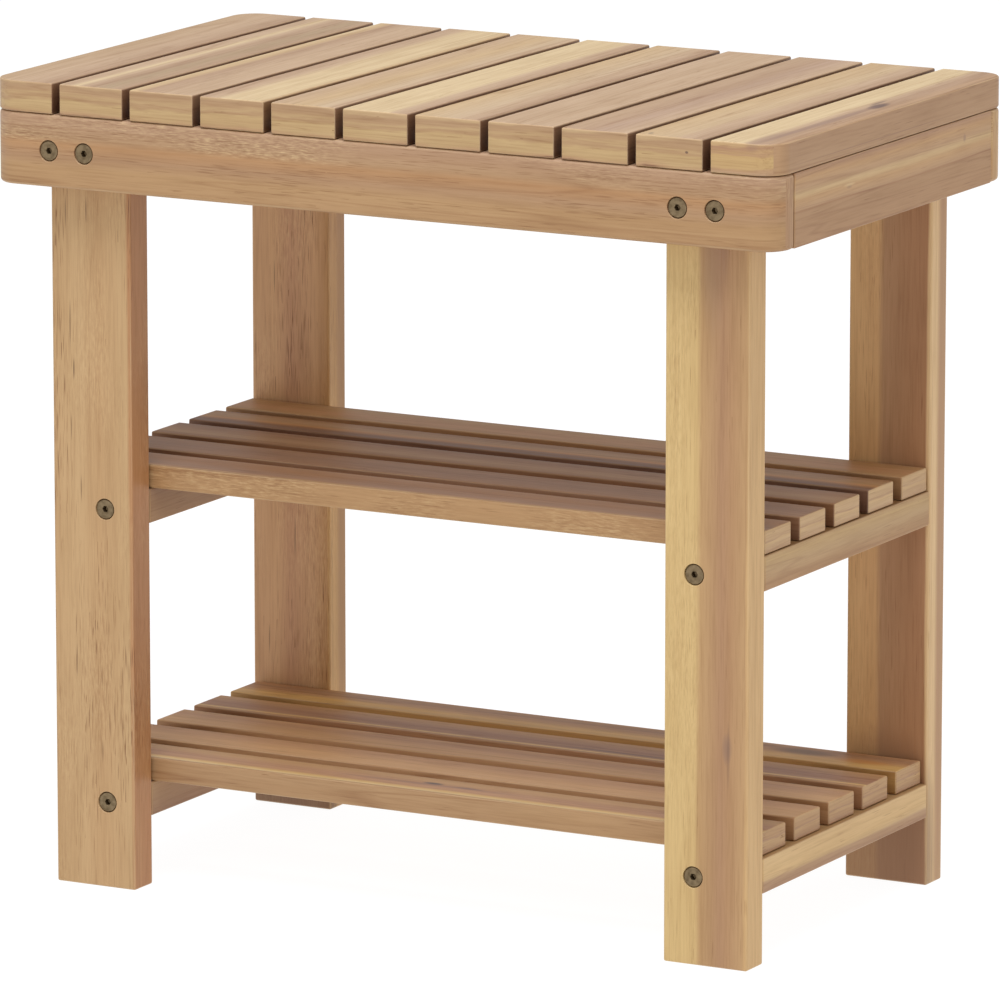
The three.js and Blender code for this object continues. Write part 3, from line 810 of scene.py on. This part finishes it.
bronze = metal("antique_bronze", "8f7c60", "6e5d45", 0.5, 0.08)
bolt_turn = np.linspace(0, 2 * math.pi, BOLT_SIDES, endpoint=False)[None, :]
for bolt in [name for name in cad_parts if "_bolt_" in name]:
    low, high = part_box(bolt)
    middle = [(low.x + high.x) / 2, low.y if "_front_" in bolt else high.y, (low.z + high.z) / 2]
    direction = 1 if "_front_" in bolt else -1
    length = high.y - low.y
    head = (high.z - low.z) / 2
    # the socket from its floor to its mouth, then the head: radius, place along the axis, hexagon or round
    profile = np.array([
        (SOCKET * 0.3, SOCKET_DEPTH, 1), (SOCKET * 0.95, SOCKET_DEPTH - 0.0004, 1),
        (SOCKET, SOCKET_DEPTH - 0.0006, 1), (SOCKET, 0.0004, 1),
        (SOCKET + 0.0001, 0.00022, 1), (SOCKET + 0.00035, 0.0002, 1), (head * 0.6, 0.00016, 0),
        (head * 0.82, 0.00008, 0), (head - 0.0004, 0.0, 0), (head - 0.0002, 0.00006, 0),
        (head - 0.00006, 0.0002, 0), (head, 0.0004, 0), (head, HEAD_THICKNESS - 0.0002, 0),
        (head - 0.0003, HEAD_THICKNESS, 0), (SHANK_RADIUS + 0.0003, HEAD_THICKNESS, 0),
        (SHANK_RADIUS, HEAD_THICKNESS + 0.0003, 0), (SHANK_RADIUS, THREAD_START - 0.0002, 0),
    ])
    plain = profile[:, :1] + 0 * bolt_turn
    six = hexagon(bolt_turn, profile[:, :1])
    radius = np.where(profile[:, 2:] == 1, six, plain)
    along = profile[:, 1:2] + 0 * bolt_turn
    # the thread's depth goes down and up once for each pitch and each turn, and fades out at both ends
    rows = int((length - UNTHREADED) / THREAD_PITCH * ROWS_PER_TURN)
    row = np.arange(rows)[:, None]
    down = THREAD_START + row * THREAD_PITCH / ROWS_PER_TURN
    phase = (down / THREAD_PITCH - bolt_turn / (2 * math.pi)) % 1
    fade = np.clip(np.minimum(row, rows - 1 - row) / ROWS_PER_TURN, 0, 1)
    thread = THREAD_RADIUS - THREAD_DEPTH * (0.4 + 0.6 * fade * np.abs(2 * phase - 1))
    tip = np.array([(0.0026, length - 0.0009), (0.0021, length)])
    radius = np.concatenate([radius, thread, tip[:, :1] + 0 * bolt_turn])
    along = np.concatenate([along, down + 0 * bolt_turn, tip[:, 1:] + 0 * bolt_turn])
    piece = surface(bolt + "_bronze", radius, along, middle, direction)
    smooth(piece, 40)
    fit(piece, bronze, "bolt_bronze", bolt)


# Barrel nuts. Plain steel rods that were pushed up into the supports from below, each with a cross hole in
# which a shelf bolt ends. Their shape is the frame's own, and only their steel is made here.
steel = metal("nut_steel", "b8b8b4", "8c8c88", 0.35, 0.2)
for name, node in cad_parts.items():
    if name.startswith("barrel_nut"):
        for slot in node.material_slots:
            slot.material = steel


# Insert nuts. Each rail bolt screws into a flanged insert with the bolts' bronze finish, which was turned
# into the leg from inside by the hexagon at the mouth of its bore.
FLANGE = 0.0066             # the radii of its flange, its body, its bore and its hexagon
BODY = 0.0050
BORE = 0.0031
INSERT_HEXAGON = 0.0034
FLANGE_PROUD = 0.0012
BODY_DEPTH = 0.0112
for bolt in [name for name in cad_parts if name.startswith("rail_bolt")]:
    face, hand = bolt.split("_")[2:4]
    low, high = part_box(bolt)
    leg_low, leg_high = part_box(f"{face}_{hand}_leg")
    inner = leg_high.y if face == "front" else leg_low.y
    direction = -1 if face == "front" else 1
    middle = [(low.x + high.x) / 2, inner, (low.z + high.z) / 2]
    # rows run from the hidden end of the bore out to the flange, then back along the outside
    profile = np.array([
        (BORE, BODY_DEPTH, 0), (BORE, 0.002, 0), (INSERT_HEXAGON, 0.0015, 1),
        (INSERT_HEXAGON, -FLANGE_PROUD + 0.0003, 1), (INSERT_HEXAGON + 0.0003, -FLANGE_PROUD, 1),
        (FLANGE - 0.0004, -FLANGE_PROUD, 0), (FLANGE, -FLANGE_PROUD + 0.0004, 0), (FLANGE, -0.0001, 0),
        (BODY, -0.0001, 0), (BODY, BODY_DEPTH - 0.0007, 0), (BODY - 0.0006, BODY_DEPTH, 0),
    ])
    plain = profile[:, :1] + 0 * bolt_turn
    radius = np.where(profile[:, 2:] == 1, hexagon(bolt_turn, profile[:, :1]), plain)
    along = profile[:, 1:2] + 0 * bolt_turn
    piece = surface(bolt.replace("rail_bolt", "insert_nut"), radius, along, middle, direction, hollow=True)
    smooth(piece, 40)
    fit(piece, bronze, "bolt_bronze")


# Wood screws. Countersunk steel screws with a cross recess, five through each support from below, hold the
# shelf slats. Their points end inside the slats.
SCREW_HEAD = 0.0040         # the radius of the head
SCREW_LENGTH = 0.026
SCREW_SHANK = 0.0019
SCREW_POINT = 0.006         # the length of its point
CROSS_REACH = 0.0021        # from the middle of the head to the end of each arm of the cross
CROSS_WIDTH = 0.00055       # from the middle of an arm to its side

along_arm = np.maximum(np.abs(np.cos(bolt_turn)), np.abs(np.sin(bolt_turn)))
across_arm = np.minimum(np.abs(np.cos(bolt_turn)), np.abs(np.sin(bolt_turn)))
# an arm is as long as its reach at its middle, and ends at its side over the sine of the turn from there
cross = np.minimum(CROSS_REACH / along_arm, CROSS_WIDTH / np.maximum(across_arm, 0.01))
# rows of the recess, as a share of the cross, and of the screw, as a radius, each with its depth
cross_rows = np.array([(0.4, 0.0020), (1, 0.0016), (1, 0.0003)])
round_rows = np.array([
    (SCREW_HEAD - 0.0004, 0.0003), (SCREW_HEAD, 0.0006), (SCREW_HEAD - 0.0002, 0.0008), (SCREW_SHANK, 0.0027),
    (SCREW_SHANK, SCREW_LENGTH - SCREW_POINT), (0.0003, SCREW_LENGTH),
])
screw_radius = np.concatenate([cross_rows[:, :1] * cross, round_rows[:, :1] + 0 * bolt_turn])
screw_along = np.concatenate([cross_rows[:, 1:], round_rows[:, 1:]]) + 0 * bolt_turn
for number, place in enumerate(screw_places):
    piece = surface(f"wood_screw_{number + 1:02d}", screw_radius, screw_along, place, 1, axis=2)
    smooth(piece, 40)
    fit(piece, steel, "nut_steel")


# Floor, light and camera. A plain white floor that glows a little, under a soft sky that is as white as the
# floor near the horizon and softer above, with one broad, slightly cool lamp overhead.
FLOOR_REACH = 40.0
FLOOR_GREY = 0.12
FLOOR_GLOW = 0.95
SKY_FADE = (0.05, 0.12)     # the heights of the sky between which it softens, and its strength there
SKY_STRENGTH = (1.04, 0.585)
LAMP_SIZE = 2.2
LAMP_POWER = 62
LAMP_COLOUR = (0.94, 0.985, 1.13)
LAMP_PLACE = (0.25, -1.05, 2.95)
LAMP_TILT = math.radians(23)
LAMP_TURN = math.radians(13)
AZIMUTH = math.radians(28.507)
ELEVATION = math.radians(11.451)
DISTANCE = 5.0987
TARGET = np.array([0.0003, 0.0, 0.2167])
LENS = 334.2

floor_mesh = bpy.data.meshes.new("floor")
floor_corners = [(FLOOR_REACH * x, FLOOR_REACH * y, 0) for x, y in [(-1, -1), (1, -1), (1, 1), (-1, 1)]]
floor_mesh.from_pydata(floor_corners, [], [(0, 1, 2, 3)])
floor = bpy.data.objects.new("floor", floor_mesh)
bpy.context.scene.collection.objects.link(floor)
paper = bpy.data.materials.new("pale_paper")
paper.use_nodes = True
shader = paper.node_tree.nodes["Principled BSDF"]
shader.inputs["Base Color"].default_value = (FLOOR_GREY, FLOOR_GREY, FLOOR_GREY, 1)
shader.inputs["Roughness"].default_value = 0.9
shader.inputs["Specular IOR Level"].default_value = 0.0
shader.inputs["Emission Color"].default_value = (1, 1, 1, 1)
shader.inputs["Emission Strength"].default_value = FLOOR_GLOW
floor_mesh.materials.append(paper)

scene = bpy.context.scene
scene.view_settings.view_transform = "Standard"
scene.world = bpy.data.worlds.new("soft_sky")
scene.world.use_nodes = True
sky_tree = scene.world.node_tree
sky = sky_tree.nodes["Background"]
sky.inputs["Color"].default_value = (1, 1, 1, 1)
direction = put(sky_tree, "ShaderNodeTexCoord").outputs["Generated"]
upward = put(sky_tree, "ShaderNodeSeparateXYZ", {0: direction}).outputs[2]
fade_inputs = {0: upward, 1: SKY_FADE[0], 2: SKY_FADE[1], 3: SKY_STRENGTH[0], 4: SKY_STRENGTH[1]}
fading = put(sky_tree, "ShaderNodeMapRange", fade_inputs, clamp=True)
sky_tree.links.new(fading.outputs[0], sky.inputs["Strength"])

lamp_data = bpy.data.lights.new("lamp", "AREA")
lamp_data.shape = "DISK"
lamp_data.size = LAMP_SIZE
lamp_data.energy = LAMP_POWER
lamp_data.color = LAMP_COLOUR
lamp = bpy.data.objects.new("lamp", lamp_data)
scene.collection.objects.link(lamp)
lamp.location = LAMP_PLACE
lamp.rotation_euler = (LAMP_TILT, 0, LAMP_TURN)

camera = bpy.data.objects.new("camera", bpy.data.cameras.new("camera"))
scene.collection.objects.link(camera)
scene.camera = camera
level = math.cos(ELEVATION)
back = np.array([math.sin(AZIMUTH) * level, -math.cos(AZIMUTH) * level, math.sin(ELEVATION)])
camera.location = TARGET + back * DISTANCE
camera.rotation_euler = (math.pi / 2 - ELEVATION, 0, AZIMUTH)
camera.data.sensor_width = 36
camera.data.lens = LENS
camera.data.clip_end = 100
